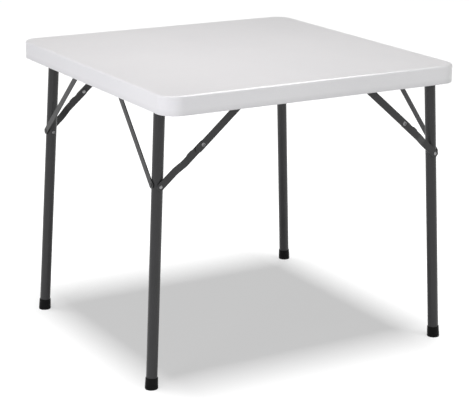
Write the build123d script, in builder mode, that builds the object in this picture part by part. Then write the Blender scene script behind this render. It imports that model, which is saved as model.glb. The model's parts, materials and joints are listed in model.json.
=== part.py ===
from build123d import *
import os
from math import acos, atan2, cos, degrees, hypot, radians, sin

os.makedirs("parts", exist_ok=True)

# Folding card table, millimetres, +Z up.
# The origin is on the floor under the middle of the top. The fold axes run along Y.
# The left leg frame stands at -X and is the narrow one, the right frame stands at +X.
# Folded, the narrow frame lies between the legs of the wide one, inside the skirt.

# Moulded top
top_size = 838.0
table_height = 744.0
skirt_depth = 47.0
skirt_thickness = 18.0
panel_thickness = 17.0
mould_wall = 2.5
corner_radius = 45.0
top_edge_round = 6.0
skirt_foot_round = 2.0

# Dimples that tie the underside of the hollow panel to its top skin
dimple_pitch = 84.0
dimple_mouth_radius = 15.0
dimple_tip_radius = 7.0
dimple_margin_x = 70.0
dimple_margin_y = 150.0

# Leg tubes, cross tubes and how they stand
leg_diameter = 28.0
tube_wall = 1.2
pivot_inset = 46.0
foot_splay = 37.5
wide_leg_inset = 61.7
wide_leg_spread = 17.1
nest_offset = 55.8
narrow_leg_spread = 21.2
tube_headroom = 2.0

# Foot caps
cap_height = 29.0
cap_top_wall = 1.6
cap_flare = 0.9
sole_thickness = 5.0
cap_edge_round = 1.2

# Mounting plates under the top
plate_thickness = 2.0
plate_width = 54.0
plate_end_margin = 14.0
plate_corner_radius = 6.0
flange_foot_gap = 1.0
bend_radius = 3.0

# Screws that hold the plates
screws_per_plate = 3
screw_radius = 2.0
screw_head_radius = 4.6
screw_head_height = 2.3
screw_depth = 11.0
screw_inset = 9.0
boss_wall = 4.0

# Pivots of the cross tubes
stub_radius = 5.0
bush_wall = 1.5
bush_collar_radius = 9.0
bush_collar = 1.0
plug_length = 14.0
plug_collar = 2.0
nut_radius = 8.0
nut_thickness = 1.0
stub_overhang = 1.0

# Folding braces
hub_reach = 202.0
anchor_reach = 225.0
strap_width = 19.0
strap_thickness = 2.5
rivet_radius = 3.0
head_radius = 5.2
hub_head_radius = 4.3
head_height = 1.5
washer_radius = 6.5
washer_thickness = 1.2
joggle = 7.6
joggle_start = 52.0
joggle_run = 27.0
joggle_bend_radius = 36.0
lug_rise = 1.8
lug_length = 9.0
lug_setback = 39.0
tail_length = 15.0
flange_room = 0.5
head_round_share = 0.85

# Gusset straps of each leg frame
gusset_rise = 2.0
gusset_width = 16.5
gusset_thickness = 2.5
narrow_gusset_top = 106.0
wide_gusset_top = 150.0
gusset_rivet_radius = 2.4
gusset_head_radius = 4.4
gusset_head_height = 1.3
gusset_tail_radius = 3.2
gusset_tail_length = 1.6

# Clearances
running_gap = 0.05
plane_gap = 0.3
seat_gap = 0.5
overrun = 5.0

# Worked out from the sizes above
half_top = top_size / 2
skirt_bottom = table_height - skirt_depth
underside = table_height - panel_thickness
leg_radius = leg_diameter / 2
pivot_height = underside - plate_thickness - tube_headroom - leg_radius
pivot_x = half_top - pivot_inset
foot_x = pivot_x + foot_splay
fold_angle = 90 + degrees(atan2(foot_splay, pivot_height))
gusset_reach = hub_reach - gusset_rise
head_room = head_height + plane_gap

# Distances outward from a leg's axis at its hub, along Y
lower_face = leg_radius + washer_thickness + 2 * plane_gap
upper_face = lower_face + joggle + strap_thickness + plane_gap
flange_face = upper_face + strap_thickness + head_room + flange_room

left, right = -1, 1
front, back = -1, 1
side_names = {(left, front): "front_left", (left, back): "back_left",
              (right, front): "front_right", (right, back): "back_right"}
frame_names = {left: "left", right: "right"}


def pivot_y(frame):
    """Distance of a leg's axis from the middle plane, at the fold axis."""
    wide = half_top - wide_leg_inset
    return wide if frame == right else wide - nest_offset


def spread(frame):
    """How much wider the legs of a frame stand at the floor than at the fold axis."""
    return wide_leg_spread if frame == right else narrow_leg_spread


def leg_y(frame, reach):
    """Distance of a leg's axis from the middle plane, at a reach down from the fold axis."""
    return pivot_y(frame) + spread(frame) * reach / hypot(foot_splay, pivot_height)


def flange_y(frame):
    """Inner face of the mounting plate's flange."""
    return leg_y(frame, hub_reach) + flange_face


def down_leg(frame):
    """Unit direction down the leg frame, seen along the fold axis."""
    slant = Vector(frame * foot_splay, 0, -pivot_height)
    return slant.normalized()


def outward(frame):
    """Unit normal of the leg frame, pointing away from the table."""
    down = down_leg(frame)
    return Vector(-frame * down.Z, 0, frame * down.X)


def fold_point(frame, y=0):
    """Point of the fold axis at a place along Y."""
    return Vector(frame * pivot_x, y, pivot_height)


def hub_point(frame):
    """Lower brace pivot, on the middle plane."""
    return fold_point(frame) + down_leg(frame) * hub_reach


def anchor_point(frame):
    """Upper brace pivot on the mounting plate, on the middle plane."""
    return fold_point(frame) - Vector(frame * anchor_reach, 0, 0)


brace_span = (anchor_point(right) - hub_point(right)).length
brace_slack = anchor_reach - hub_reach
upper_length = (brace_span + brace_slack) / 2
lower_length = (brace_span - brace_slack) / 2


def brace_direction(frame):
    """Unit direction from the hub to the anchor when the brace is locked straight."""
    return (anchor_point(frame) - hub_point(frame)).normalized()


def middle_point(frame):
    """Middle pivot of the brace when it is locked straight, on the middle plane."""
    return hub_point(frame) + brace_direction(frame) * lower_length


def leg_plane(frame, side):
    """Plane across a leg at its top, with Z down the leg."""
    top = fold_point(frame, side * pivot_y(frame))
    foot = Vector(frame * foot_x, side * (pivot_y(frame) + spread(frame)), 0)
    return Plane(origin=top, x_dir=(0, 1, 0), z_dir=foot - top)


def leg_length(frame):
    return Vector(foot_splay, spread(frame), pivot_height).length


def across_plane(point, side, offset):
    """Plane square to Y at a distance outward from the middle plane, facing outward."""
    return Plane(origin=Vector(point.X, side * offset, point.Z), x_dir=(1, 0, 0), z_dir=(0, side, 0))


def gusset_points(frame, side):
    """Lower and upper end of a gusset strap, as reach down the frame and place along Y."""
    top = narrow_gusset_top if frame == left else wide_gusset_top
    return [(gusset_reach, side * leg_y(frame, gusset_reach)), (0, side * top)]


def frame_point(frame, reach, y, offset):
    """Point of a leg frame at a reach down, a place along Y and a distance outward."""
    return fold_point(frame, y) + down_leg(frame) * reach + outward(frame) * offset


def screw_places(frame, side):
    """Middle of each plate screw, on the underside of the panel."""
    y = side * (flange_y(frame) + plate_thickness - plate_width + screw_inset)
    first = pivot_x - leg_radius - plate_end_margin
    last = pivot_x - anchor_reach
    step = (first - last) / (screws_per_plate - 1)
    return [Vector(frame * (first - step * n), y, underside) for n in range(screws_per_plate)]


def finish(part, name):
    """Label a piece and write it."""
    part.label = name
    export_step(part, f"parts/{name}.step")


all_screws = [p for f in (left, right) for s in (front, back) for p in screw_places(f, s)]
legs = [(f, s) for f in (left, right) for s in (front, back)]

# Sealed air space inside the moulding
dimple_depth = panel_thickness - mould_wall
dimple_draft = degrees(atan2(dimple_mouth_radius - dimple_tip_radius, dimple_depth))
dimples_x = int((top_size - 2 * dimple_margin_x) // dimple_pitch)
dimples_y = int((top_size - 2 * dimple_margin_y) // dimple_pitch)
recess_size = top_size - 2 * skirt_thickness
recess_radius = corner_radius - skirt_thickness

with BuildPart() as air_space:
    with BuildSketch(Plane.XY.offset(skirt_bottom + mould_wall)):
        RectangleRounded(top_size - 2 * mould_wall, top_size - 2 * mould_wall, corner_radius - mould_wall)
    extrude(amount=skirt_depth - 2 * mould_wall)
    with BuildSketch(Plane.XY.offset(skirt_bottom)):
        RectangleRounded(recess_size + 2 * mould_wall, recess_size + 2 * mould_wall,
                         recess_radius + mould_wall)
    extrude(amount=underside + mould_wall - skirt_bottom, mode=Mode.SUBTRACT)
    with BuildSketch(Plane.XY.offset(underside)):
        with GridLocations(dimple_pitch, dimple_pitch, dimples_x, dimples_y):
            Circle(dimple_mouth_radius + mould_wall)
    extrude(amount=dimple_depth, taper=dimple_draft, mode=Mode.SUBTRACT)
    with BuildSketch(Plane.XY.offset(underside)):
        with Locations([(p.X, p.Y) for p in all_screws]):
            Circle(screw_radius + boss_wall)
    extrude(amount=panel_thickness, mode=Mode.SUBTRACT)

# Top: hollow panel with its skirt, one moulding
with BuildPart() as tabletop:
    with BuildSketch(Plane.XY.offset(skirt_bottom)):
        RectangleRounded(top_size, top_size, corner_radius)
    extrude(amount=skirt_depth)
    with BuildSketch(Plane.XY.offset(skirt_bottom)):
        RectangleRounded(recess_size, recess_size, recess_radius)
    extrude(amount=skirt_depth - panel_thickness, mode=Mode.SUBTRACT)
    fillet(tabletop.edges().group_by(Axis.Z)[-1], top_edge_round)
    fillet(tabletop.edges().group_by(Axis.Z)[0], skirt_foot_round)
    with BuildSketch(Plane.XY.offset(underside)):
        with GridLocations(dimple_pitch, dimple_pitch, dimples_x, dimples_y):
            Circle(dimple_mouth_radius)
    extrude(amount=dimple_depth, taper=dimple_draft, mode=Mode.SUBTRACT)
    add(air_space.part, mode=Mode.SUBTRACT)
    with BuildSketch(Plane.XY.offset(underside)):
        with Locations([(p.X, p.Y) for p in all_screws]):
            Circle(screw_radius + running_gap)
    extrude(amount=screw_depth, mode=Mode.SUBTRACT)
finish(tabletop.part, "tabletop")


def mounting_plate(frame, side):
    """Bent steel plate under the top: the flange carries the pivots, the flat is screwed on."""
    outer = flange_y(frame) + plate_thickness
    inner = outer - plate_width
    foot = skirt_bottom + flange_foot_gap
    start = pivot_x + plate_end_margin
    length = anchor_reach + 2 * plate_end_margin
    profile = Plane(origin=(frame * start, 0, 0), x_dir=(0, side, 0), z_dir=(-frame, 0, 0))
    up = profile.to_local_coords(Vector(frame * start, 0, underside)).Y / underside
    with BuildPart() as plate:
        with BuildSketch(profile):
            with BuildLine():
                Polyline(
                    (inner, up * underside),
                    (outer, up * underside),
                    (outer, up * foot),
                    (outer - plate_thickness, up * foot),
                    (outer - plate_thickness, up * (underside - plate_thickness)),
                    (inner, up * (underside - plate_thickness)),
                    close=True,
                )
            make_face()
        extrude(amount=length)
        ridges = plate.edges().filter_by(Axis.X).group_by(Axis.Z)[-1]
        fillet(ridges.sort_by(lambda e: abs(e.center().Y))[-1], bend_radius)
        fillet(plate.edges().filter_by(Axis.Y).group_by(Axis.Z)[0], plate_corner_radius)
        uprights = plate.edges().filter_by(Axis.Z).sort_by(lambda e: abs(e.center().Y))
        fillet(uprights[:2], plate_corner_radius)
        with BuildSketch(across_plane(fold_point(frame), side, outer + overrun)):
            Circle(stub_radius + bush_wall + 2 * running_gap)
            with Locations((-frame * anchor_reach, 0)):
                Circle(rivet_radius + running_gap)
        extrude(amount=-(plate_thickness + 2 * overrun), mode=Mode.SUBTRACT)
        with BuildSketch(Plane.XY.offset(underside + overrun)):
            with Locations([(p.X, p.Y) for p in screw_places(frame, side)]):
                Circle(screw_radius + running_gap)
        extrude(amount=-(plate_thickness + 2 * overrun), mode=Mode.SUBTRACT)
    return plate.part


def plate_screw(place):
    """Pan-head screw driven up into the panel's boss."""
    seat = place.Z - plate_thickness
    with BuildPart() as screw:
        with BuildSketch(Plane.XY.offset(seat)):
            with Locations((place.X, place.Y)):
                Circle(screw_head_radius)
        extrude(amount=-screw_head_height)
        fillet(screw.edges().group_by(Axis.Z)[0], screw_head_height * head_round_share)
        with BuildSketch(Plane.XY.offset(seat)):
            with Locations((place.X, place.Y)):
                Circle(screw_radius)
        extrude(amount=plate_thickness + screw_depth - seat_gap)
    return screw.part


def bush(frame, side):
    """Nylon bush in the flange, round the stub of the cross tube."""
    inner = flange_y(frame)
    with BuildPart() as ring:
        with BuildSketch(across_plane(fold_point(frame), side, inner - bush_collar)):
            Circle(bush_collar_radius)
            Circle(stub_radius + running_gap, mode=Mode.SUBTRACT)
        extrude(amount=bush_collar)
        with BuildSketch(across_plane(fold_point(frame), side, inner)):
            Circle(stub_radius + bush_wall + running_gap)
            Circle(stub_radius + running_gap, mode=Mode.SUBTRACT)
        extrude(amount=plate_thickness)
    return ring.part


def headed_pin(plane, steps):
    """Round pin along the plane's normal, from (radius, length) steps, its end heads rounded over."""
    with BuildPart() as pin:
        at = 0
        for radius, length in steps:
            with BuildSketch(plane.offset(at)):
                Circle(radius)
            extrude(amount=length)
            at += length
        rims = pin.edges().filter_by(GeomType.CIRCLE).sort_by(Axis(plane.origin, plane.z_dir))
        heads = [rim for rim in (rims[0], rims[-1]) if rim.radius > rivet_radius + running_gap]
        fillet(heads, head_height * head_round_share)
    return pin.part


def anchor_rivet(frame, side):
    """Upper brace rivet: fixed in the flange, the upper link turns on it."""
    hub_y = leg_y(frame, hub_reach)
    start = hub_y + upper_face - plane_gap - head_height
    steps = [
        (head_radius, head_height),
        (rivet_radius, strap_thickness + 2 * plane_gap),
        (head_radius, flange_face - upper_face - strap_thickness - plane_gap),
        (rivet_radius, plate_thickness),
        (head_radius, head_height),
    ]
    return headed_pin(across_plane(anchor_point(frame), side, start), steps)


def hub_rivet(frame, side):
    """Lower brace rivet: through the leg, the washer and the lower link."""
    hub_y = leg_y(frame, hub_reach)
    start = hub_y - leg_radius - plane_gap - head_height
    through = leg_radius + plane_gap + lower_face + strap_thickness + plane_gap
    steps = [(hub_head_radius, head_height), (rivet_radius, through), (hub_head_radius, head_height)]
    return headed_pin(across_plane(hub_point(frame), side, start), steps)


def hub_washer(frame, side):
    """Spacer between the leg and the lower link."""
    start = leg_y(frame, hub_reach) + lower_face - plane_gap - washer_thickness
    with BuildPart() as washer:
        with BuildSketch(across_plane(hub_point(frame), side, start)):
            Circle(washer_radius)
            Circle(rivet_radius + running_gap, mode=Mode.SUBTRACT)
        extrude(amount=washer_thickness)
    return washer.part


def leg_tube(frame, side):
    """Leg: a steel tube with its top coped round the cross tube and drilled for the rivets."""
    across = leg_plane(frame, side)
    hub = across_plane(hub_point(frame), side, 0)
    gusset_low = gusset_points(frame, side)[0]
    gusset_seat = frame_point(frame, gusset_low[0], gusset_low[1], 0)
    with BuildPart() as tube:
        with BuildSketch(across):
            Circle(leg_radius)
            Circle(leg_radius - tube_wall, mode=Mode.SUBTRACT)
        extrude(amount=leg_length(frame) - sole_thickness)
        with BuildSketch(Plane(origin=fold_point(frame), x_dir=(1, 0, 0), z_dir=(0, 1, 0))):
            Circle(leg_radius + running_gap)
        extrude(amount=half_top, both=True, mode=Mode.SUBTRACT)
        with BuildSketch(hub.offset(leg_y(frame, hub_reach) - leg_diameter)):
            Circle(rivet_radius + running_gap)
        extrude(amount=2 * leg_diameter, mode=Mode.SUBTRACT)
        with BuildSketch(Plane(origin=gusset_seat, x_dir=(0, 1, 0), z_dir=outward(frame))):
            Circle(gusset_rivet_radius + running_gap)
        extrude(amount=leg_diameter, mode=Mode.SUBTRACT)
    return tube.part


def cross_tube_end(frame):
    """Where the cross tube stops, short of the plug's collar."""
    return flange_y(frame) - bush_collar - plane_gap - plug_collar


def cross_tube(frame):
    """Tube along the fold axis that joins the two legs."""
    axis_plane = Plane(origin=fold_point(frame), x_dir=(1, 0, 0), z_dir=(0, 1, 0))
    with BuildPart() as tube:
        with BuildSketch(axis_plane):
            Circle(leg_radius)
            Circle(leg_radius - tube_wall, mode=Mode.SUBTRACT)
        extrude(amount=cross_tube_end(frame), both=True)
        for side in (front, back):
            reach, y = gusset_points(frame, side)[1]
            seat = frame_point(frame, reach, y, 0)
            with BuildSketch(Plane(origin=seat, x_dir=(0, 1, 0), z_dir=outward(frame))):
                Circle(gusset_rivet_radius + running_gap)
            extrude(amount=leg_diameter, mode=Mode.SUBTRACT)
    return tube.part


def pivot_plug(frame, side):
    """Plug in the end of the cross tube, with the stub that turns in the bush."""
    end = cross_tube_end(frame)
    through_flange = plane_gap + bush_collar + plate_thickness
    stub = plug_collar + through_flange + plane_gap + nut_thickness + stub_overhang
    with BuildPart() as plug:
        with BuildSketch(across_plane(fold_point(frame), side, end)):
            Circle(leg_radius)
        extrude(amount=plug_collar)
        with BuildSketch(across_plane(fold_point(frame), side, end)):
            Circle(leg_radius - tube_wall - running_gap)
        extrude(amount=-plug_length)
        with BuildSketch(across_plane(fold_point(frame), side, end)):
            Circle(stub_radius)
        extrude(amount=stub)
    return plug.part


def push_nut(frame, side):
    """Spring washer pressed on the stub, outside the flange."""
    start = flange_y(frame) + plate_thickness + plane_gap
    with BuildPart() as nut:
        with BuildSketch(across_plane(fold_point(frame), side, start)):
            Circle(nut_radius)
            Circle(stub_radius + running_gap, mode=Mode.SUBTRACT)
        extrude(amount=nut_thickness)
    return nut.part


def foot_cap(frame, side):
    """Flared cap on the end of a leg, its sole cut level with the floor."""
    across = leg_plane(frame, side)
    length = leg_length(frame)
    top = length - cap_height
    tube_end = length - sole_thickness
    mouth = leg_radius + cap_top_wall
    heel = mouth + cap_flare
    with BuildPart() as cap:
        with BuildSketch(across.offset(top)):
            Circle(mouth)
        with BuildSketch(across.offset(length + overrun)):
            Circle(heel)
        loft()
        fillet(cap.faces().sort_by(Axis.Z)[-1].edges(), cap_edge_round)
        with BuildSketch(across.offset(top)):
            Circle(leg_radius + running_gap)
        extrude(amount=tube_end - top, mode=Mode.SUBTRACT)
        with BuildSketch(Plane.XY):
            with Locations((frame * foot_x, side * (pivot_y(frame) + spread(frame)))):
                Circle(leg_diameter)
        extrude(amount=-leg_diameter, mode=Mode.SUBTRACT)
    return cap.part


def gusset(frame, side):
    """Flat strap across the corner of a leg frame, from the leg up to the cross tube."""
    low, high = [frame_point(frame, r, y, leg_radius + seat_gap) for r, y in gusset_points(frame, side)]
    run = high - low
    with BuildPart() as strap:
        with BuildSketch(Plane(origin=low, x_dir=run, z_dir=outward(frame))):
            with Locations((run.length / 2, 0)):
                SlotCenterToCenter(run.length, gusset_width)
            with Locations((0, 0), (run.length, 0)):
                Circle(gusset_rivet_radius + running_gap, mode=Mode.SUBTRACT)
        extrude(amount=gusset_thickness)
    return strap.part


def gusset_rivet(frame, side, end):
    """Blind rivet through the strap and one wall of the tube."""
    reach, y = gusset_points(frame, side)[end]
    inside = leg_radius - tube_wall - running_gap - gusset_tail_length
    shank = gusset_tail_length + tube_wall + running_gap + seat_gap + gusset_thickness
    plane = Plane(origin=frame_point(frame, reach, y, inside), x_dir=(0, 1, 0), z_dir=outward(frame))
    with BuildPart() as rivet:
        with BuildSketch(plane):
            Circle(gusset_rivet_radius)
        extrude(amount=shank)
        with BuildSketch(plane):
            Circle(gusset_tail_radius)
        extrude(amount=-gusset_tail_length)
        with BuildSketch(plane.offset(shank)):
            Circle(gusset_head_radius)
        extrude(amount=gusset_head_height)
        fillet(rivet.edges().sort_by(Axis(plane.origin, plane.z_dir))[-1],
               gusset_head_height * head_round_share)
    return rivet.part


def strap_outline(length, tail):
    """Outline of a link in the open sketch: round ends and a hole at each pivot."""
    with Locations(((length + tail) / 2, 0)):
        SlotCenterToCenter(length + tail, strap_width)
    with Locations((0, 0), (length, 0)):
        Circle(rivet_radius + running_gap, mode=Mode.SUBTRACT)


def upper_link(frame, side):
    """Upper half of the folding brace, with a tail past the middle rivet."""
    base = leg_y(frame, hub_reach) + upper_face
    anchor = anchor_point(frame)
    origin = Vector(anchor.X, side * base, anchor.Z)
    with BuildPart() as link:
        with BuildSketch(Plane(origin=origin, x_dir=brace_direction(frame) * -1, z_dir=(0, side, 0))):
            strap_outline(upper_length, tail_length)
        extrude(amount=strap_thickness)
    return link.part


def lower_link(frame, side):
    """Lower half of the folding brace, joggled outward past the leg, with a stop lug on one edge."""
    base = leg_y(frame, hub_reach) + lower_face
    hub = hub_point(frame)
    origin = Vector(hub.X, side * base, hub.Z)
    plane = Plane(origin=origin, x_dir=brace_direction(frame), z_dir=(0, side, 0))
    edge_plane = Plane(origin=origin, x_dir=plane.x_dir, z_dir=plane.y_dir)
    out = edge_plane.to_local_coords(origin + plane.z_dir).Y
    far = joggle_start + joggle_run
    with BuildPart() as link:
        with BuildSketch(plane):
            strap_outline(lower_length, 0)
            with Locations((lower_length - lug_setback, frame * side * lug_rise)):
                SlotCenterToCenter(lug_length, strap_width)
        extrude(amount=strap_thickness + joggle)
        with BuildSketch(edge_plane) as bent:
            with BuildLine():
                Polyline(
                    (-strap_width, 0),
                    (joggle_start, 0),
                    (far, out * joggle),
                    (lower_length + strap_width, out * joggle),
                    (lower_length + strap_width, out * (joggle + strap_thickness)),
                    (far, out * (joggle + strap_thickness)),
                    (joggle_start, out * strap_thickness),
                    (-strap_width, out * strap_thickness),
                    close=True,
                )
            make_face()
            bends = bent.vertices().filter_by_position(Axis.X, joggle_start - overrun, far + overrun)
            fillet(bends, joggle_bend_radius)
        extrude(amount=2 * strap_width, both=True, mode=Mode.INTERSECT)
    return link.part


def mid_rivet_inner(frame, side):
    """Half of the middle rivet that stays in the lower link."""
    start = leg_y(frame, hub_reach) + lower_face + joggle - head_height
    plane = across_plane(middle_point(frame), side, start)
    return headed_pin(plane, [(head_radius, head_height), (rivet_radius, strap_thickness)])


def mid_rivet_outer(frame, side):
    """Half of the middle rivet that stays in the upper link."""
    plane = across_plane(middle_point(frame), side, leg_y(frame, hub_reach) + upper_face)
    return headed_pin(plane, [(rivet_radius, strap_thickness), (head_radius, head_height)])


# Pieces that stay with the top
for frame, side in legs:
    name = side_names[frame, side]
    finish(mounting_plate(frame, side), f"{name}_mounting_plate")
    finish(anchor_rivet(frame, side), f"{name}_anchor_rivet")
finish(Compound(children=[plate_screw(p) for p in all_screws]), "plate_screws")
for frame in (left, right):
    finish(Compound(children=[bush(frame, s) for s in (front, back)]), f"{frame_names[frame]}_pivot_bushes")

# Leg frames
for frame in (left, right):
    word = frame_names[frame]
    finish(cross_tube(frame), f"{word}_cross_tube")
    finish(Compound(children=[push_nut(frame, s) for s in (front, back)]), f"{word}_push_nuts")
    rivets = [gusset_rivet(frame, s, end) for s in (front, back) for end in (0, 1)]
    finish(Compound(children=rivets), f"{word}_gusset_rivets")
for frame, side in legs:
    name = side_names[frame, side]
    finish(leg_tube(frame, side), f"{name}_leg")
    finish(foot_cap(frame, side), f"{name}_foot_cap")
    finish(gusset(frame, side), f"{name}_gusset")
    finish(pivot_plug(frame, side), f"{name}_pivot_plug")
    finish(hub_rivet(frame, side), f"{name}_hub_rivet")
    finish(hub_washer(frame, side), f"{name}_hub_washer")

# Folding braces
for frame, side in legs:
    name = side_names[frame, side]
    finish(upper_link(frame, side), f"{name}_upper_link")
    finish(lower_link(frame, side), f"{name}_lower_link")
    finish(mid_rivet_inner(frame, side), f"{name}_mid_rivet_inner")
    finish(mid_rivet_outer(frame, side), f"{name}_mid_rivet_outer")

# Angles of the linkage, for the joints
brace_slope = degrees(atan2(brace_direction(left).Z, brace_direction(left).X))
print("fold axis height", pivot_height, "at x", pivot_x, "fold angle", fold_angle)
print("hub", hub_point(right), "anchor", anchor_point(right))
print("links", lower_length, upper_length, "slope", brace_slope)
print("upper ratio", brace_slope / fold_angle, "lower ratio", (180 - brace_slope - fold_angle) / fold_angle)
for frame in (left, right):
    print(frame_names[frame], "pivot y", pivot_y(frame), "hub y", leg_y(frame, hub_reach))
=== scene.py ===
# %% [markdown]
# A folding card table with a moulded plastic top and painted tube legs.
#
# The solids of the table, its joints and its real sizes come from the packed frame. This script
# dresses them: it gives each piece its finish, adds the small forms that the solids leave plain,
# such as domed rivets, screw recesses and weld beads, and sets up the photographer's studio.
# Everything is in metres, with the origin on the floor under the middle of the top.

# %% Load the frame
import json
import math

import bmesh
import bpy
from mathutils import Matrix, Vector


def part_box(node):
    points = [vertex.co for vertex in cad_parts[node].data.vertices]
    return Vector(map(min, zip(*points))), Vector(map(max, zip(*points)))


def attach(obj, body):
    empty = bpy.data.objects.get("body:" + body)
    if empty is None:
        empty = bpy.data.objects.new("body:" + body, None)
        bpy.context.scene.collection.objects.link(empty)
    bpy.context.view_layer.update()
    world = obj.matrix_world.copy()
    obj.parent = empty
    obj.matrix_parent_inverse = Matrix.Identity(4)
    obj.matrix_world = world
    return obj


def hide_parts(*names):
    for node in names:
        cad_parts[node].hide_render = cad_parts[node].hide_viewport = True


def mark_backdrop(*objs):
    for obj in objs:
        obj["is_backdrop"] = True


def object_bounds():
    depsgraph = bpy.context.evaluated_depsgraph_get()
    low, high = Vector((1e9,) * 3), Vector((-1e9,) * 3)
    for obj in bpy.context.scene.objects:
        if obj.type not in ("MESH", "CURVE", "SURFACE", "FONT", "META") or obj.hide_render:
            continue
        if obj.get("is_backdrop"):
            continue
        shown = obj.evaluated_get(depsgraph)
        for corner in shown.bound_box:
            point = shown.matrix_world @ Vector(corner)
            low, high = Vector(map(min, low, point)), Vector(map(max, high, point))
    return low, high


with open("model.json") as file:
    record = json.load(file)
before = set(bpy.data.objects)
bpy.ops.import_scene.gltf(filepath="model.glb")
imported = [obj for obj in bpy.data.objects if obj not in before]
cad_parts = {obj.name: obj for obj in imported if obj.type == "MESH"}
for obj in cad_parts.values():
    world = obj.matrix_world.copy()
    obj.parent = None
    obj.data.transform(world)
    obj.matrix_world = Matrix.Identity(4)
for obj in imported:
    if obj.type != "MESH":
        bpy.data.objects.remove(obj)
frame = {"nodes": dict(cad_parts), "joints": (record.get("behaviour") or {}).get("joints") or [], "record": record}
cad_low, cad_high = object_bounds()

MM = 0.001
CORNERS = [(side, depth) for side in ("left", "right") for depth in ("front", "back")]

nodes = frame["nodes"]

# %% [markdown]
# The camera comes first, because every later choice is judged through it. A photograph of a
# square table fixes its own viewpoint: the four edges of the top, the skirt and the four feet
# were fitted to a pinhole camera. The lens is long, so the table shows little perspective.
# The camera could be aimed with a Track To constraint, but that leaves out the small roll which
# the photograph has. Blender's camera looks down its own -Z, so its rotation is built here from
# three directions: right, up and back.

# %% The camera
IMAGE_WIDTH = 471
FOCAL_PIXELS = 1533.76
SENSOR_WIDTH = 36.0
CAMERA_PLACE = Vector((-2.0012, -3.4108, 1.4915))
YAW = 0.5336
PITCH = 0.2868
ROLL = 0.0094

ahead = Vector((math.sin(YAW) * math.cos(PITCH), math.cos(YAW) * math.cos(PITCH), -math.sin(PITCH)))
level = Vector((math.cos(YAW), -math.sin(YAW), 0))
raised = level.cross(ahead)
right = math.cos(ROLL) * level + math.sin(ROLL) * raised
up = math.cos(ROLL) * raised - math.sin(ROLL) * level
facing = Matrix((right, up, -ahead)).transposed().to_4x4()

camera_data = bpy.data.cameras.new("camera")
camera_data.sensor_width = SENSOR_WIDTH
camera_data.lens = FOCAL_PIXELS / IMAGE_WIDTH * SENSOR_WIDTH
camera = bpy.data.objects.new("camera", camera_data)
camera.matrix_world = Matrix.Translation(CAMERA_PLACE) @ facing
bpy.context.scene.collection.objects.link(camera)
bpy.context.scene.camera = camera
print("lens", round(camera_data.lens, 1), "mm, looking", [round(c, 3) for c in ahead])

# %% [markdown]
# A finish is a small graph of shader nodes, which is hard to read when it is written node by
# node. Two short classes let it be written as sums instead. The first, Value, wraps one output
# socket: adding to it or multiplying it adds a Math node. The reflected forms, such as __rsub__,
# are there so that a plain number may stand on the left, as in 1 - mask.

# %% Sums on shader values
class Value:
    """One output socket, so that sums on shader values read like sums."""

    def __init__(self, graph, socket):
        self.graph = graph
        self.socket = socket

    def math(self, operation, first, second):
        return self.graph.node("ShaderNodeMath", {"operation": operation}, {0: first, 1: second})

    def __add__(self, other):
        return self.math("ADD", self, other)

    def __radd__(self, other):
        return self.math("ADD", other, self)

    def __sub__(self, other):
        return self.math("SUBTRACT", self, other)

    def __rsub__(self, other):
        return self.math("SUBTRACT", other, self)

    def __mul__(self, other):
        return self.math("MULTIPLY", self, other)

    def __rmul__(self, other):
        return self.math("MULTIPLY", other, self)

    def spread(self, low, high):
        """Turns a value from 0 to 1 into one from low to high."""
        return self * (high - low) + low


print("sums ready for + - *")

# %% [markdown]
# The second class, Graph, is one material, or the world. Its node method makes any other node
# from a type, its settings, which are set first, and its inputs, which are links or plain values.
# A helper for each kind of node would read a little better, but most of them would be used once.
# The coordinates are the object's own, so that a pattern stays on its piece when the legs fold.

# %% The graph of a material
class Graph:
    """The shader of a material or of the world, with the nodes that feed it."""

    def __init__(self, owner, shader, output, constants):
        owner.use_nodes = True
        self.owner = owner
        self.tree = owner.node_tree
        self.shader = self.tree.nodes[shader]
        self.output = self.tree.nodes[output]
        self.place = self.node("ShaderNodeTexCoord", {}, {}, "Object")
        for socket, value in constants.items():
            self.shader.inputs[socket].default_value = value

    def node(self, kind, settings, inputs, output=0):
        """Makes a node, sets it, joins or fills its inputs and returns one output as a Value."""
        made = self.tree.nodes.new(kind)
        for name, value in settings.items():
            setattr(made, name, value)
        for name, value in inputs.items():
            if isinstance(value, Value):
                self.tree.links.new(value.socket, made.inputs[name])
            else:
                made.inputs[name].default_value = value
        return Value(self, made.outputs[output])

    def feed(self, socket, value):
        self.tree.links.new(value.socket, self.shader.inputs[socket])

    def show(self, shader):
        """Shows another shader in place of the plain one."""
        self.tree.links.new(shader.socket, self.output.inputs["Surface"])

    def put_on(self, piece):
        piece.data.materials.clear()
        piece.data.materials.append(self.owner)


print("graphs ready")

# %% [markdown]
# A finish of this table is a graph that also knows the few steps which all the finishes need:
# cloudy noise, the height above the floor, a stretched range, a blend of two colours and bumps.
# Each step is one line in a finish, so the finish reads like its description.

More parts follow.
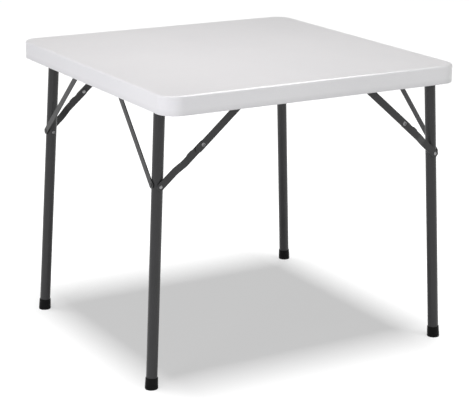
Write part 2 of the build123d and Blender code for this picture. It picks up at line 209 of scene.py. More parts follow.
# %% Finishes
class Finish(Graph):
    """A graph with the steps that the table's finishes are made of."""

    def noise(self, size, detail):
        """Cloudy values from 0 to 1 with lumps of about that size in metres."""
        inputs = {"Vector": self.place, "Scale": 1 / size, "Detail": detail}
        return self.node("ShaderNodeTexNoise", {}, inputs)

    def height(self):
        """Height above the floor in metres, on the open table."""
        return self.node("ShaderNodeSeparateXYZ", {}, {"Vector": self.place}, "Z")

    def between(self, value, low, high):
        """Stretches the part of a value from low to high over 0 to 1, and clips the rest."""
        return self.node("ShaderNodeMapRange", {}, {"Value": value, "From Min": low, "From Max": high})

    def blend(self, factor, first, second):
        """A colour between two colours."""
        return self.node("ShaderNodeMix", {"data_type": "RGBA"}, {0: factor, 6: first, 7: second}, 2)

    def bump(self, *heights):
        """Bumps the surface by several (height, depth in metres) pairs, one after the other."""
        normal = None
        for height, depth in heights:
            inputs = {"Height": height, "Distance": depth, "Strength": 1.0}
            if normal:
                inputs["Normal"] = normal
            normal = self.node("ShaderNodeBump", {}, inputs)
        self.feed("Normal", normal)


print("finishes ready, with", [name for name in vars(Finish) if not name.startswith("_")])

# %% [markdown]
# Every finish on the table is a Principled shader, the general one that can be plastic, paint or
# metal. What is the same all over a surface is set on the shader's own sockets, and only what
# varies is fed by nodes. Paint, caps and steel are nearly neutral in colour, so grey makes a
# colour from one level, with a little more blue where that is wanted.

# %% Surfaces and greys
def surface(name, constants):
    """A material with a Principled shader."""
    return Finish(bpy.data.materials.new(name), "Principled BSDF", "Material Output", constants)


def grey(level, blue_share=1.0):
    """A nearly neutral colour."""
    return (level, level, level * blue_share, 1.0)


print("a cool middle grey is", grey(0.5, 1.04))

# %% [markdown]
# The top is blow-moulded polyethylene, off-white and satin. Close up such plastic has a fine
# leather-like grain that the mould leaves, and over a hand's width it is never quite flat: the
# skin sinks a little where it cools against the ties inside. A picture of the plastic could be
# wrapped round the top, but it would stretch over the rounded edges, and noise in space doesn't.
# So the roughness varies softly, one bump gives the grain, and a second one, very shallow and
# much wider, gives the slow waves. A narrow band at the foot of the skirt is painted slightly
# greyer, as painted shade along the skirt's foot.

# %% Finish of the moulded top
CLEAN_DARK = (0.765, 0.765, 0.772, 1)
CLEAN_LIGHT = (0.80, 0.80, 0.802, 1)
# Painted shade: the greyer colour and the heights of the band at the skirt's foot.
PAINTED_SHADE_COLOUR = (0.70, 0.70, 0.705, 1)
PAINTED_SHADE_FROM = 698 * MM
PAINTED_SHADE_TO = 712 * MM
CLOUD_SIZE = 350 * MM
CLOUD_SHARE = 0.8
FLECK_SIZE = 4 * MM
TONE_LIMITS = (0.35, 0.65)
SHEEN_SIZE = 20 * MM
SHEEN_LIMITS = (0.2, 0.8)
TOP_ROUGHNESS = (0.28, 0.35)
WAVE_SIZE = 110 * MM
WAVE_DEPTH = 0.25 * MM
GRAIN_SIZE = 1.6 * MM
GRAIN_DEPTH = 0.03 * MM

plastic = surface("moulded_plastic", {"IOR": 1.5, "Specular IOR Level": 0.5})
clouds = plastic.noise(CLOUD_SIZE, detail=3.0)
flecks = plastic.noise(FLECK_SIZE, detail=1.0)
tone = plastic.between(clouds * CLOUD_SHARE + flecks * (1 - CLOUD_SHARE), *TONE_LIMITS)
clean = plastic.blend(tone, CLEAN_DARK, CLEAN_LIGHT)
# Painted shade: the base colour turns greyer in a band at the foot of the skirt.
painted_shade_band = plastic.between(plastic.height(), PAINTED_SHADE_TO, PAINTED_SHADE_FROM)
plastic.feed("Base Color", plastic.blend(painted_shade_band, clean, PAINTED_SHADE_COLOUR))
sheen = plastic.between(plastic.noise(SHEEN_SIZE, detail=4.0), *SHEEN_LIMITS)
plastic.feed("Roughness", sheen.spread(*TOP_ROUGHNESS))
cells = {"Vector": plastic.place, "Scale": 1 / GRAIN_SIZE}
grain = plastic.node("ShaderNodeTexVoronoi", {"feature": "SMOOTH_F1"}, cells)
plastic.bump((plastic.noise(WAVE_SIZE, detail=1.0), WAVE_DEPTH), (grain, GRAIN_DEPTH))
print("made", plastic.owner.name)

# %% [markdown]
# Legs, braces and plates are steel with a charcoal powder coat. The powder melts into a skin
# that is smooth but not flat, with the fine ripple called orange peel. Handling leaves faint
# duller patches. A dark paint shows its form mainly by reflections, so the roughness matters
# more than the colour: the patches change it, while the finer specks change the colour alone.

# %% Finish of the painted steel
PAINT_DARK = grey(0.017, 1.03)
PAINT_LIGHT = grey(0.029, 1.04)
PATCH_SIZE = 50 * MM
PATCH_LIMITS = (0.45, 0.7)
SPECK_SIZE = 1.2 * MM
SPECK_SHARE = 0.6
PAINT_ROUGHNESS = (0.34, 0.44)
PEEL_SIZE = 2.2 * MM
PEEL_DEPTH = 0.04 * MM
PIT_SIZE = 0.6 * MM
PIT_DEPTH = 0.01 * MM

paint = surface("powder_coat", {"IOR": 1.5, "Specular IOR Level": 0.38})
rubbed = paint.between(paint.noise(PATCH_SIZE, detail=4.0), *PATCH_LIMITS)
specks = paint.noise(SPECK_SIZE, detail=1.0)
shade = specks * SPECK_SHARE + rubbed * (1 - SPECK_SHARE)
paint.feed("Base Color", paint.blend(shade, PAINT_DARK, PAINT_LIGHT))
paint.feed("Roughness", rubbed.spread(*PAINT_ROUGHNESS))
peel = paint.noise(PEEL_SIZE, detail=2.0)
pits = paint.noise(PIT_SIZE, detail=1.0)
paint.bump((peel, PEEL_DEPTH), (pits, PIT_DEPTH))
print("made", paint.owner.name)

# %% [markdown]
# The foot caps are black polyethylene, softer and duller than the paint, and dusty near the
# floor. The dust could be painted on by hand, but a mask made from the height above the floor
# sits alike on all four caps. It fades out a finger's width above the sole, and noise breaks it
# up. Dust is paler and rougher than the plastic, so it feeds both the colour and the roughness.

# %% Finish of the foot caps
CAP_CLEAN = grey(0.004)
CAP_DUSTY = grey(0.024)
DUST_HEIGHT = 12 * MM
DUST_SIZE = 6 * MM
DUST_LIMITS = (0.35, 0.7)
DUST_COVER = 0.5
CAP_ROUGHNESS = (0.52, 0.77)
CAP_GRAIN_SIZE = 0.8 * MM
CAP_GRAIN_DEPTH = 0.03 * MM

cap_plastic = surface("matt_cap_plastic", {"IOR": 1.5, "Specular IOR Level": 0.09})
broken = cap_plastic.between(cap_plastic.noise(DUST_SIZE, detail=3.0), *DUST_LIMITS)
dust = cap_plastic.between(cap_plastic.height(), DUST_HEIGHT, 0.0) * broken
cap_plastic.feed("Base Color", cap_plastic.blend(dust * DUST_COVER, CAP_CLEAN, CAP_DUSTY))
cap_plastic.feed("Roughness", dust.spread(*CAP_ROUGHNESS))
cap_plastic.bump((cap_plastic.noise(CAP_GRAIN_SIZE, detail=2.0), CAP_GRAIN_DEPTH))
print("made", cap_plastic.owner.name)

# %% [markdown]
# Rivets and screws are zinc-plated steel: a metal, so its colour is the colour of its
# reflection. The plating has dulled and is slightly cloudy, so it is a rather dark grey with a
# middling roughness, not a mirror, and the heads carry fine tool marks.

# %% Finish of the bare steel
ZINC_DARK = grey(0.20, 1.02)
ZINC_LIGHT = grey(0.32, 1.01)
PLATING_SIZE = 2 * MM
ZINC_ROUGHNESS = (0.27, 0.41)
TOOL_MARK_SIZE = 0.4 * MM
TOOL_MARK_DEPTH = 0.01 * MM

zinc = surface("zinc_steel", {"Metallic": 1.0})
plating = zinc.noise(PLATING_SIZE, detail=3.0)
zinc.feed("Base Color", zinc.blend(plating, ZINC_DARK, ZINC_LIGHT))
zinc.feed("Roughness", plating.spread(*ZINC_ROUGHNESS))
zinc.bump((zinc.noise(TOOL_MARK_SIZE, detail=2.0), TOOL_MARK_DEPTH))
print("made", zinc.owner.name)

# %% [markdown]
# The bushes and washers are natural nylon. It is a little yellow and lets light in slightly. A
# glassy shader would do that too, but it needs far more light paths, so a small subsurface
# weight gives it.

# %% Finish of the nylon pieces
NYLON_DARK = (0.70, 0.68, 0.62, 1)
NYLON_LIGHT = (0.78, 0.77, 0.72, 1)
NYLON_CLOUD_SIZE = 3 * MM
NYLON_ROUGHNESS = (0.45, 0.55)
NYLON_GRAIN_SIZE = 0.7 * MM
NYLON_GRAIN_DEPTH = 0.02 * MM

nylon = surface("natural_nylon", {"Subsurface Weight": 0.2, "Subsurface Scale": 2 * MM, "IOR": 1.53})
nylon_clouds = nylon.noise(NYLON_CLOUD_SIZE, detail=2.0)
nylon.feed("Base Color", nylon.blend(nylon_clouds, NYLON_DARK, NYLON_LIGHT))
nylon.feed("Roughness", nylon_clouds.spread(*NYLON_ROUGHNESS))
nylon.bump((nylon.noise(NYLON_GRAIN_SIZE, detail=1.0), NYLON_GRAIN_DEPTH))
print("made", nylon.owner.name)

# %% [markdown]
# Each solid now gets the finish of its slot in the record. Steel that is cut or pressed never
# has a knife-sharp edge, and it is the tiny round on an edge that catches the light. A Bevel
# modifier adds it to the straps and plates without touching the solids' own vertices. The
# tubes, the top and the caps are round enough already.

# %% Dress the solids
FINISHES = {
    "top_plastic": plastic,
    "frame_paint": paint,
    "cap_plastic": cap_plastic,
    "bare_steel": zinc,
    "nylon": nylon,
}
ROUNDED = ("link", "gusset", "mounting_plate")
EDGE_ROUND = 0.4 * MM
ROUND_SEGMENTS = 2
ROUNDED_ABOVE = math.radians(50)

for entry in frame["record"]["subparts"]:
    piece = nodes[entry["node"]]
    FINISHES[entry["material_slot"]].put_on(piece)
    if entry["node"].endswith(ROUNDED):
        bevel = piece.modifiers.new("edge round", "BEVEL")
        bevel.width = EDGE_ROUND
        bevel.segments = ROUND_SEGMENTS
        bevel.limit_method = "ANGLE"
        bevel.angle_limit = ROUNDED_ABOVE
        bevel.harden_normals = True

# %% [markdown]
# The small hardware is round: screws, rivets, nuts and foot caps are all turned or stamped about
# an axis. One could boolean cylinders, but the meshes come out ragged. It is cleaner to turn a
# profile, a list of (radius, height) pairs, about Z, as on a lathe. A radius may also be a
# formula of the angle, which cuts slots and recesses into a round piece.

# %% Turning a profile
def turned(profile, sides=48, ring=False):
    """Points and faces of a profile turned about Z. A radius of 0 closes an end, ring joins both."""
    points, rows = [], []
    for radius, height in profile:
        count = 1 if radius == 0 else sides
        rows.append([len(points) + n for n in range(count)])
        for n in range(count):
            angle = 2 * math.pi * n / sides
            reach = radius(angle) if callable(radius) else radius
            points.append(Vector((reach * math.cos(angle), reach * math.sin(angle), height)))
    faces = []
    for low, high in zip(rows, rows[1:] + rows[:1] if ring else rows[1:]):
        for n in range(sides):
            m = (n + 1) % sides
            corners = [low[n % len(low)], low[m % len(low)], high[m % len(high)], high[n % len(high)]]
            faces.append(list(dict.fromkeys(corners)))
    return points, faces


print("a turned spindle has", len(turned([(0, 0), (1, 1), (0, 2)])[1]), "faces")

# %% [markdown]
# A turned profile stands on the origin, so it is then laid along the axis of its piece. Most of
# the hardware lies along Y, through a leg or a strap. That axis could be typed in, but it is read
# from the box of the plain solid, so a dressed rivet can't drift away from the hole it sits in.

# %% Laying it on its axis
def laid(lot, place, direction):
    """Moves points and faces so that their Z axis runs from a place along a direction."""
    points, faces = lot
    move = Matrix.Translation(place) @ Vector(direction).to_track_quat("Z", "Y").to_matrix().to_4x4()
    return [move @ point for point in points], faces


def outward(depth):
    """Unit direction out of the table at its front or back."""
    return Vector((0, -1 if depth == "front" else 1, 0))


def along(node, depth):
    """Inner end, length and outward direction of a node that lies along Y."""
    low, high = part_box(node)
    out = outward(depth)
    inner = low if out.y > 0 else high
    return Vector(((low.x + high.x) / 2, inner.y, (low.z + high.z) / 2)), high.y - low.y, out


print("hub rivet", round(along("front_left_hub_rivet", "front")[1] / MM, 1), "mm long")

# %% [markdown]
# A finished piece is one mesh of one or more such lots. Some of its faces may point inwards, so
# they are all turned outwards first. Then it is shaded smooth except across sharp edges, which
# keeps a dome round and its rim crisp. The piece rides the body that it is fixed to, so that it
# moves with the joint, and it replaces the plain solid, so that the two aren't both drawn.

# %% Making one piece
SHARP_ANGLE = 32


def piece_of(name, lots, body, slot, *nodes_replaced):
    """One object from several lots of points and faces. It rides a body and may stand for nodes."""
    points, faces = [], []
    for lot_points, lot_faces in lots:
        faces += [[len(points) + corner for corner in face] for face in lot_faces]
        points += lot_points
    mesh = bpy.data.meshes.new(name)
    mesh.from_pydata(points, [], faces)
    shape = bmesh.new()
    shape.from_mesh(mesh)
    bmesh.ops.recalc_face_normals(shape, faces=shape.faces)
    shape.to_mesh(mesh)
    shape.free()
    mesh.shade_smooth()
    mesh.set_sharp_from_angle(angle=math.radians(SHARP_ANGLE))
    piece = bpy.data.objects.new(name, mesh)
    bpy.context.scene.collection.objects.link(piece)
    FINISHES[slot].put_on(piece)
    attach(piece, body)
    if nodes_replaced:
        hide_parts(*nodes_replaced)


print("edges are sharp above", SHARP_ANGLE, "degrees")

# %% [markdown]
# Twelve pan-head screws hold the four steel plates to the moulded top. Their heads show from
# below, and each has a cross recess. In polar terms a cross is simple: along a direction, its
# edge is where an arm's side or its end is met, whichever comes first, and the longer arm wins.
# So the recess is just three more rings in the turned profile, with that formula for a radius,
# and each ring a little narrower than the one above, because a driver's tip tapers.

# %% The shape of a screw
HEAD_RADIUS = 4.6 * MM
HEAD_HEIGHT = 2.3 * MM
HEAD_SHARES = [(0.66, 1.00), (0.80, 0.94), (0.91, 0.78), (0.98, 0.52), (1.00, 0.22), (1.00, 0.00)]
SHANK_RADIUS = 2.0 * MM
ARM_LENGTH = 2.5 * MM
ARM_HALF_WIDTH = 0.55 * MM
RECESS_DEPTH = 1.5 * MM
RECESS_RINGS = [(0.6, 1.35 * MM), (0.9, 0.2 * MM), (1.0, 0.0)]
ALMOST_NONE = 1e-6


def cross(angle):
    """Reach of the cross recess at an angle round the screw."""
    sides = [abs(math.sin(angle)), abs(math.cos(angle))]
    return max(min(ARM_LENGTH, ARM_HALF_WIDTH / max(side, ALMOST_NONE)) for side in sides)


def recess_ring(share, depth):
    """A ring of the recess: its share of the cross, at a depth below the top of the head."""
    return lambda angle: share * cross(angle), HEAD_HEIGHT - depth


def screw_profile(length):
    """From the middle of the recess, over the head and down the shank, with Z out of the head."""
    recess = [(0, HEAD_HEIGHT - RECESS_DEPTH)] + [recess_ring(*ring) for ring in RECESS_RINGS]
    pan = [(share * HEAD_RADIUS, rise * HEAD_HEIGHT) for share, rise in HEAD_SHARES]
    shank = [(SHANK_RADIUS, 0), (SHANK_RADIUS, SHANK_RADIUS - length), (0, -length)]
    return recess + pan + shank


print("recess arms", round(cross(0) / MM, 1), "mm, head radius", round(HEAD_RADIUS / MM, 1), "mm")

# %% [markdown]
# The screws stand in a row along the inner edge of each plate. The row starts clear of the cross
# tube, which lies under the plate's outer end, and ends a margin before the plate's other end.
# Twelve separate pieces would only lengthen the list: none of them ever moves against another,
# so all twelve are one piece.

# %% Screws with a cross recess
SCREWS_PER_PLATE = 3
SCREW_INSET = 9.0 * MM
END_MARGIN = 14.0 * MM
TUBE_RADIUS = 14.0 * MM

screw_low, screw_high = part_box("plate_screws")
screw_length = screw_high.z - screw_low.z - HEAD_HEIGHT
screw_seat = screw_low.z + HEAD_HEIGHT
screw_lots = []
for side, depth in CORNERS:
    low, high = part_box(f"{depth}_{side}_mounting_plate")
    out = -1 if side == "left" else 1
    y = high.y - SCREW_INSET if depth == "front" else low.y + SCREW_INSET
    ends = (low.x + END_MARGIN, high.x - END_MARGIN)
    first, last = ends if side == "left" else ends[::-1]
    first -= out * (TUBE_RADIUS + END_MARGIN)
    for n in range(SCREWS_PER_PLATE):
        x = first + (last - first) * n / (SCREWS_PER_PLATE - 1)
        screw = turned(screw_profile(screw_length))
        screw_lots.append(laid(screw, Vector((x, y, screw_seat)), (0, 0, -1)))
piece_of("cross_head_screws", screw_lots, "top", "bare_steel", "plate_screws")
print("screws", len(screw_lots), "of", round(screw_length / MM, 1), "mm")

# %% [markdown]
# The braces turn on semi-tubular rivets, the usual rivet of folding furniture. One end is a low
# factory dome. The other is a short tube whose wall the press rolls over, so it ends in a ring
# round a small dark hollow, and that ring is the bright crescent on a brace in daylight. Both
# ends are kept as shares of a radius and a rise, so that a large and a small head are one shape.

# %% Heads of a rivet
RIVET_RISE = 1.5 * MM
HOLLOW_SHARES = [
    (1.00, 0.00), (1.00, 0.34), (0.93, 0.76), (0.80, 1.00), (0.66, 0.92), (0.54, 0.50),
    (0.48, -0.30), (0.44, -0.80), (0.00, -0.86),
]
DOME_SHARES = [
    (1.00, 0.00), (1.00, 0.26), (0.94, 0.55), (0.80, 0.80), (0.58, 0.94), (0.30, 0.99),
    (0.00, 1.00),
]


def head(shares, radius, seat, way):
    """A rivet's head from its shares, standing on a seat height and facing up (1) or down (-1)."""
    rows = [(share * radius, seat + way * rise * RIVET_RISE) for share, rise in shares]
    return rows if way > 0 else rows[::-1]


print("rolled end", len(HOLLOW_SHARES), "rings, dome", len(DOME_SHARES), "rings")

# %% [markdown]
# Each brace has three rivets. The hub rivet holds its lower link to the leg, the anchor rivet
# holds its upper link to the plate under the top, and the middle rivet joins the two links. The
# middle one is made as two halves, one on each link, because the linkage is opened there: the
# halves part while the table folds and meet again at both ends of the motion. Each profile runs
# from the inner end of the rivet to the outer one, at the length of its solid.

# %% Profiles of the rivets
RIVET_RADIUS = 3.0 * MM
RIVET_HEAD = 5.2 * MM
HUB_HEAD = 4.3 * MM
STRAP = 2.5 * MM
PLATE = 2.0 * MM
LINK_CLEARANCE = 0.6 * MM


def hub_profile(length):
    """Rolled end inside, dome outside, the shank through leg, washer and link."""
    inner, outer = RIVET_RISE, length - RIVET_RISE
    shank = [(RIVET_RADIUS, inner), (RIVET_RADIUS, outer)]
    return head(HOLLOW_SHARES, HUB_HEAD, inner, -1) + shank + head(DOME_SHARES, HUB_HEAD, outer, 1)


def anchor_profile(length):
    """Dome inside, the shank through the link, a shoulder, the shank through the plate, rolled end."""
    seat = length - RIVET_RISE
    link_end = RIVET_RISE + STRAP + LINK_CLEARANCE
    shoulder_end = seat - PLATE
    through_link = [(RIVET_RADIUS, RIVET_RISE), (RIVET_RADIUS, link_end)]
    shoulder = [(RIVET_HEAD, link_end), (RIVET_HEAD, shoulder_end)]
    through_plate = [(RIVET_RADIUS, shoulder_end), (RIVET_RADIUS, seat)]
    dome = head(DOME_SHARES, RIVET_HEAD, RIVET_RISE, -1)
    return dome + through_link + shoulder + through_plate + head(HOLLOW_SHARES, RIVET_HEAD, seat, 1)


def outer_half(length):
    """Shank in the upper link, rolled end outside."""
    seat = length - RIVET_RISE
    return [(0, 0), (RIVET_RADIUS, 0), (RIVET_RADIUS, seat)] + head(HOLLOW_SHARES, RIVET_HEAD, seat, 1)


def inner_half(length):
    """Dome inside, shank in the lower link."""
    rows = head(DOME_SHARES, RIVET_HEAD, RIVET_RISE, -1)
    return rows + [(RIVET_RADIUS, RIVET_RISE), (RIVET_RADIUS, length), (0, length)]


print("rivets of", round(2 * RIVET_RADIUS / MM, 1), "mm with heads of", round(2 * RIVET_HEAD / MM, 1), "mm")

# %% [markdown]
# The profiles are turned and laid along the axes of the plain rivets. What matters now is the
# body that each one rides: a hub rivet swings with its leg frame, an anchor rivet stays under the
# top, and the two halves of a middle rivet go with the upper and the lower link.

# %% Rivets in their places
def rivet(name, depth, body, profile_of):
    """Replaces the rivet of that node by a turned one of the same length."""
    place, length, out = along(name, depth)
    lot = laid(turned(profile_of(length)), place, out)
    piece_of(name.replace("_rivet", "_turned_rivet"), [lot], body, "bare_steel", name)


for side, depth in CORNERS:
    corner = f"{depth}_{side}"
    rivet(f"{corner}_hub_rivet", depth, f"{side}_legs", hub_profile)
    rivet(f"{corner}_anchor_rivet", depth, "top", anchor_profile)
    rivet(f"{corner}_mid_rivet_outer", depth, f"{corner}_upper_brace", outer_half)
    rivet(f"{corner}_mid_rivet_inner", depth, f"{corner}_lower_brace", inner_half)
print("turned three rivets, one of them in halves, at", len(CORNERS), "braces")

# %% [markdown]
# The stubs of the cross tubes are kept in by push nuts, dished spring washers whose inner edge is
# slit into teeth that bite the stub. The slits could be cut with a boolean, one by one. Here the
# angle formula makes them: where a wave with one crest for each slit is high, the hole reaches
# further out. The profile is joined end to end, so that it makes a ring.

# %% Push nuts with teeth
NUT_TEETH = 8
NUT_SIDES = 96
NUT_HOLE = 5.05 * MM
NUT_RADIUS = 8.0 * MM
NUT_THICKNESS = 1.0 * MM
SLIT_DEPTH = 1.5 * MM
SLIT_ABOVE = 0.55
TOOTH_FACES = (0.55 * MM, 0.95 * MM)
DISH_SHARES = [(0.86, 0.1 * MM), (1.00, 0.0), (1.00, 0.4 * MM), (0.88, 0.5 * MM)]


def teeth(angle):
    """Reach of the toothed hole: the slits go further out than the teeth."""
    return NUT_HOLE + (SLIT_DEPTH if math.cos(NUT_TEETH * angle) > SLIT_ABOVE else 0)


dish = [(share * NUT_RADIUS, rise) for share, rise in DISH_SHARES]
nut_ring = [(teeth, TOOTH_FACES[0])] + dish + [(teeth, TOOTH_FACES[1])]
for side in ("left", "right"):
    low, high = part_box(f"{side}_push_nuts")
    middle_x, middle_z = (low.x + high.x) / 2, (low.z + high.z) / 2
    seat_y = high.y - NUT_THICKNESS
    nut_lots = [laid(turned(nut_ring, NUT_SIDES, True), Vector((middle_x, out.y * seat_y, middle_z)), out)
                for out in (outward("front"), outward("back"))]
    piece_of(f"{side}_toothed_push_nuts", nut_lots, f"{side}_legs", "bare_steel", f"{side}_push_nuts")
print("push nuts with", NUT_TEETH, "teeth, two on each leg frame")

# %% [markdown]
# A leg runs from its fold axis under the top down to the middle of its sole, leaning outwards.
# The frame knows both ends: the joint gives the height and the place of the axis, and a mount
# gives the sole. Both the foot cap and the weld at the top need this line.

# %% The axis of a leg
soles = {mount["name"]: Vector(mount["pos_m"]) for mount in frame["record"]["mounts"]}
folds = {joint["name"]: Vector(joint["pos_m"]) for joint in frame["joints"]}


def leg_axis(side, depth):
    """Top of a leg on its fold axis, its foot in the middle of the sole, and the way down."""
    foot = soles[f"{depth}_{side}_sole"]
    low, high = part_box(f"{depth}_{side}_leg")
    y = high.y - TUBE_RADIUS if depth == "front" else low.y + TUBE_RADIUS
    top = Vector((folds[f"{side}_fold"].x, y, folds[f"{side}_fold"].z))
    return top, foot, (foot - top).normalized()


for side, depth in CORNERS:
    lean = leg_axis(side, depth)[2].angle((0, 0, -1))
    print(depth, side, "leans", round(math.degrees(lean), 2), "degrees")

# %% [markdown]
# A foot cap is pressed over the end of each leg. It flares a little towards the floor, has a
# rounded mouth and two shallow grooves near the sole, which let the soft plastic grip.
# The leg leans, so the cap is turned about the leg's own axis and then cut level with the floor:
# every point that falls below the floor slides back up along the leg.

# %% Foot caps
CAP_SIDES = 64
CAP_HEIGHT = 29.0 * MM
CAP_WALL = 1.6 * MM
CAP_FLARE = 0.9 * MM
CAP_FLOOR = 5.0 * MM
CAP_CLEARANCE = 0.05 * MM
CAP_SHARES = [
    (0.000, 0.20), (0.012, 0.55), (0.035, 0.78), (0.060, 0.84), (0.100, 0.84), (0.400, 0.90),
    (0.680, 0.95), (0.700, 0.62), (0.730, 0.62), (0.750, 0.96), (0.800, 0.97), (0.820, 0.66),
    (0.850, 0.66), (0.870, 0.97), (0.940, 0.93), (0.985, 0.74), (1.100, 0.60),
]


def cap_profile():
    """From the middle of the cap's inner floor up the bore, over the mouth and down to the sole."""
    bore = TUBE_RADIUS + CAP_CLEARANCE
    skin = []
    for at, share in CAP_SHARES:
        widest = TUBE_RADIUS + CAP_WALL + CAP_FLARE * at
        skin.append((bore + (widest - bore) * share, CAP_HEIGHT * at))
    inner_floor = CAP_HEIGHT - CAP_FLOOR
    return [(0, inner_floor), (bore, inner_floor), (bore, 0)] + skin + [(0, skin[-1][1])]


for side, depth in CORNERS:
    corner = f"{depth}_{side}"
    top, foot, down = leg_axis(side, depth)
    points, faces = laid(turned(cap_profile(), CAP_SIDES), foot - down * CAP_HEIGHT, down)
    points = [point - down * (min(point.z, 0) / down.z) for point in points]
    piece_of(f"{corner}_grooved_cap", [(points, faces)], f"{side}_legs", "cap_plastic",
             f"{corner}_foot_cap")
print("capped", len(CORNERS), "legs, with", len(points), "points on each cap")

# %% [markdown]
# The legs are welded to their cross tube. A weld bead is a string of small overlapping drops, so
# it is a thin tube with a ripple, swept along the line where the two cylinders meet. A curve with
# a round bevel would do it too, but it can twist at steep bends and has to become a mesh in the
# end. Here the rings of the tube are placed directly, square to the way ahead.

# %% Sweeping a bead
BEAD_SIDES = 8


def swept(path, radii, upward):
    """Points and faces of a closed tube along a path, with a radius at each point."""
    points, faces = [], []
    for n, (place, radius) in enumerate(zip(path, radii)):
        following = (n + 1) % len(path)
        ahead_here = (path[following] - path[n - 1]).normalized()
        side_way = ahead_here.cross(upward).normalized()
        top_way = side_way.cross(ahead_here)
        for k in range(BEAD_SIDES):
            turn = 2 * math.pi * k / BEAD_SIDES
            points.append(place + radius * (math.cos(turn) * side_way + math.sin(turn) * top_way))
            beside = (k + 1) % BEAD_SIDES
            corners = [(n, k), (n, beside), (following, beside), (following, k)]
            faces.append([row * BEAD_SIDES + column for row, column in corners])
    return points, faces


print("a bead has", BEAD_SIDES, "points round each ring")

# %% [markdown]
# Leg and cross tube have the same radius, so the line where they meet has a simple form: at an
# angle round the leg, the joint lies a radius times the cosine of that angle below the fold axis.
# The bead thins out at the sides, where the two tubes run into each other.

# %% Weld beads
BEAD_RADIUS = 1.7 * MM
BEAD_STEPS = 240
BEAD_THINNEST = 0.30
DROPS = 30
DROP_RIPPLE = 0.16

for side, depth in CORNERS:
    top, foot, down = leg_axis(side, depth)
    across = (Vector((0, 1, 0)) - down * down.y).normalized()
    normal = down.cross(across)
    path, radii = [], []
    for n in range(BEAD_STEPS):
        angle = 2 * math.pi * n / BEAD_STEPS
        steep = abs(math.cos(angle))
        reach = TUBE_RADIUS * (math.cos(angle) * across + math.sin(angle) * normal)
        path.append(top + reach + down * (TUBE_RADIUS * steep))
        ripple = 1 + DROP_RIPPLE * math.sin(DROPS * angle)
        radii.append(BEAD_RADIUS * (BEAD_THINNEST + (1 - BEAD_THINNEST) * steep) * ripple)
    piece_of(f"{depth}_{side}_weld_bead", [swept(path, radii, down)], f"{side}_legs", "frame_paint")
print("beads of", round(2 * BEAD_RADIUS / MM, 1), "mm at", len(CORNERS), "legs")

# %% [markdown]
# Where the halves of the mould close round the plastic, a fine ridge stays under the skirt's rim,
# all the way round. A bump in the finish would vanish seen from the side, so it is real geometry:
# a low roof-shaped strip along a rounded square, whose corners are arcs.

# %% Mould ridge under the rim
CORNER_RADIUS = 45.0 * MM
CORNER_STEPS = 16
RIDGE_INSET = 9.0 * MM
RIDGE_HALF_WIDTH = 0.7 * MM
RIDGE_DROP = 0.5 * MM
RIDGE_ROWS = [
    (RIDGE_INSET - RIDGE_HALF_WIDTH, 0.0), (RIDGE_INSET, -RIDGE_DROP),
    (RIDGE_INSET + RIDGE_HALF_WIDTH, 0.0), (RIDGE_INSET, RIDGE_DROP),
]

top_low, top_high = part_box("tabletop")


def rounded_square(inset):
    """Points of the rim's outline, moved in by an inset."""
    middle = top_high.x - CORNER_RADIUS
    radius = CORNER_RADIUS - inset
    outline = []
    for quarter, (sx, sy) in enumerate([(1, 1), (-1, 1), (-1, -1), (1, -1)]):
        for n in range(CORNER_STEPS + 1):
            angle = math.pi / 2 * (quarter + n / CORNER_STEPS)
            outline.append((sx * middle + radius * math.cos(angle), sy * middle + radius * math.sin(angle)))
    return outline


ridge_points = []
for inset, rise in RIDGE_ROWS:
    ridge_points += [Vector((x, y, top_low.z + rise)) for x, y in rounded_square(inset)]
count = len(ridge_points) // len(RIDGE_ROWS)
ridge_faces = []
for row in range(len(RIDGE_ROWS)):
    next_row = (row + 1) % len(RIDGE_ROWS)
    for n in range(count):
        m = (n + 1) % count
        ridge_faces.append([row * count + n, row * count + m, next_row * count + m, next_row * count + n])
piece_of("mould_ridge", [(ridge_points, ridge_faces)], "top", "top_plastic")
print("ridge", count, "points round")

# %% [markdown]
# The studio is a white floor that runs into a white background. A plain white floor would turn
# grey where less light falls on it, so there are two floors in one plane, and each kind of ray
# meets only one of them. The camera and the reflections see a floor that glows evenly and adds a
# little of the light that falls on it: enough to carry the shadow, while all around it stays
# white. A few metres out it fades to pure white, so that no horizon shows. Diffuse rays meet a
# plain pale floor, which bounces light up on the table.

# %% The two floors
FLOOR_HALF = 14.0
FLOOR_COLOUR = 0.6
FLOOR_SEEN = 0.14
FLOOR_GLOW = 0.527
FLOOR_FADE = (2.0, 6.0)


def floor_piece(name, finish, seen):
    """A square floor that only the camera and reflections see, or only diffuse rays."""
    mesh = bpy.data.meshes.new(name)
    square = [(-1, -1), (1, -1), (1, 1), (-1, 1)]
    mesh.from_pydata([(FLOOR_HALF * x, FLOOR_HALF * y, 0) for x, y in square], [], [(0, 1, 2, 3)])
    piece = bpy.data.objects.new(name, mesh)
    piece.visible_camera = seen
    piece.visible_glossy = seen
    piece.visible_transmission = seen
    piece.visible_diffuse = not seen
    piece.visible_shadow = False
    bpy.context.scene.collection.objects.link(piece)
    finish.put_on(piece)
    return piece


pale = surface("pale_floor", {"Roughness": 0.9, "Specular IOR Level": 0.0, "Base Color": grey(FLOOR_COLOUR)})
white = surface("white_floor", {})
glow = white.node("ShaderNodeEmission", {}, {"Color": grey(1.0), "Strength": FLOOR_GLOW})
matt = white.node("ShaderNodeBsdfDiffuse", {}, {"Color": grey(FLOOR_SEEN)})
near = white.node("ShaderNodeAddShader", {}, {0: glow, 1: matt})
beyond = white.node("ShaderNodeEmission", {}, {"Color": grey(1.0), "Strength": 1.0})
distance = white.node("ShaderNodeVectorMath", {"operation": "LENGTH"}, {0: white.place}, "Value")
fade = white.between(distance, *FLOOR_FADE)
white.show(white.node("ShaderNodeMixShader", {}, {0: fade, 1: near, 2: beyond}))
seen_floor = floor_piece("seen_floor", white, True)
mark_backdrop(seen_floor, floor_piece("bounce_floor", pale, False))
print("two floors", 2 * FLOOR_HALF, "m across")

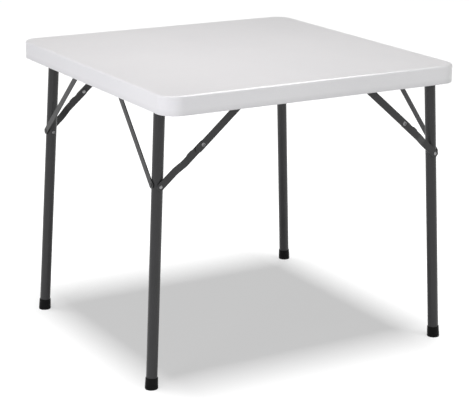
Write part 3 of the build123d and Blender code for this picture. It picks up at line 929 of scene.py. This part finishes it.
# %% [markdown]
# The shadow in such a picture comes from one large light straight overhead, while the object
# itself is lit by soft boxes around it. One lamp can't do both, so a lamp high above is linked to
# the white floor alone: it draws the soft edge of the shadow and adds nothing to the table. The
# edge blurs by the lamp's width times the table's height over the lamp's distance. The lamp is
# longer from front to back, as the shadow's edges in front and behind are the softer ones.

# %% The light that draws the shadow
SHADOW_LAMP_PLACE = Vector((-0.15, -0.55, 20.0))
SHADOW_LAMP_SIZE = (5.4, 7.8)
SHADOW_LAMP_POWER = 21000


def area_lamp(name, place, size, watts):
    """A rectangular lamp of that width and length at a place, shining straight down."""
    data = bpy.data.lights.new(name, "AREA")
    data.shape = "RECTANGLE"
    data.size, data.size_y = size
    data.energy = watts
    lamp = bpy.data.objects.new(name, data)
    lamp.location = place
    bpy.context.scene.collection.objects.link(lamp)
    return lamp


shadow_lamp = area_lamp("shadow_lamp", SHADOW_LAMP_PLACE, SHADOW_LAMP_SIZE, SHADOW_LAMP_POWER)
floor_only = bpy.data.collections.new("lit_by_shadow_lamp")
floor_only.objects.link(seen_floor)
shadow_lamp.light_linking.receiver_collection = floor_only
blur_share = cad_high[2] / (SHADOW_LAMP_PLACE.z - cad_high[2])
print("shadow edges", [round(size * blur_share, 3) for size in SHADOW_LAMP_SIZE], "m wide")

# %% [markdown]
# Three soft boxes light the table. A strong one stands low at the left, so the left skirt is the
# brightest face and the tubes are lighter on their left side. One at the front right lights the
# long skirt, and a small one hangs close above the top, whose light falls off towards the edges.
# The satin top would mirror the two side boxes as white glare when it is seen from low down, so
# they are hidden from reflections, and only the box above the top shows in them.

# %% The soft boxes
TABLE_MIDDLE = (0, 0, 0.62)
BOXES = {
    "left_box": {"place": (-3.4, -1.6, 1.0), "width": 1.2, "watts": 76, "colour": (0.965, 0.955, 1.0)},
    "right_box": {"place": (2.4, -3.4, 1.7), "width": 1.6, "watts": 51, "colour": (1.0, 1.0, 1.0)},
    "top_box": {"place": (-0.3, -0.1, 1.9), "width": 0.6, "watts": 6.8, "colour": (1.0, 0.95, 0.965)},
}
MIRRORED = ("top_box",)

for name, box in BOXES.items():
    lamp = area_lamp(name, box["place"], (box["width"], box["width"]), box["watts"])
    lamp.data.color = box["colour"]
    lamp.visible_glossy = name in MIRRORED
    lamp.rotation_euler = (Vector(TABLE_MIDDLE) - lamp.location).to_track_quat("-Z", "Y").to_euler()
print("soft boxes", len(BOXES), "of which reflections show", len(MIRRORED))

# %% [markdown]
# A thin bright line runs along the rounded front edge of the top. It is no change of colour but
# the reflection of a long lamp above, which only the round of the edge turns towards the camera.
# A lamp of its own draws it. It is hidden from diffuse light, so that it adds this line and
# nothing to the plain light on the table.

# %% The lamp in the rounded edge
EDGE_LAMP_PLACE = (0.64, -0.33, 2.05)
EDGE_LAMP_SIZE = (1.0, 1.70)
EDGE_LAMP_POWER = 41

edge_lamp = area_lamp("edge_lamp", EDGE_LAMP_PLACE, EDGE_LAMP_SIZE, EDGE_LAMP_POWER)
edge_lamp.visible_diffuse = False
print("edge lamp", EDGE_LAMP_SIZE, "m")

# %% [markdown]
# The world is the white studio around the table. The camera and the reflections see it at a
# strength of 1, which is white. Light that lands on the table comes from it too, and there it is
# kept low, so that the soft boxes can model the form. A mask is 1 for the rays that see the world
# and 0 for the others, and the strength is a sum of that mask and its opposite, 1 - mask.

# %% The world
WORLD_FILL = 0.30
SEEING_RAYS = ("Is Camera Ray", "Is Glossy Ray", "Is Transmission Ray")

world = bpy.data.worlds.new("studio")
bpy.context.scene.world = world
studio = Finish(world, "Background", "World Output", {"Color": grey(1.0)})
rays = [studio.node("ShaderNodeLightPath", {}, {}, kind) for kind in SEEING_RAYS]
seeing = studio.between(rays[0] + rays[1] + rays[2], 0.0, 1.0)
studio.feed("Strength", seeing + (1 - seeing) * WORLD_FILL)
bpy.context.scene.view_settings.view_transform = "Standard"
print("world", WORLD_FILL, "on the table, and 1 for the camera")

# %% [markdown]
# Last, the box of the dressed table is printed. The solids' own box was taken at the start.

# %% Sizes
low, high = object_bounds()
print("visual box", [round(v, 4) for v in low], [round(v, 4) for v in high])
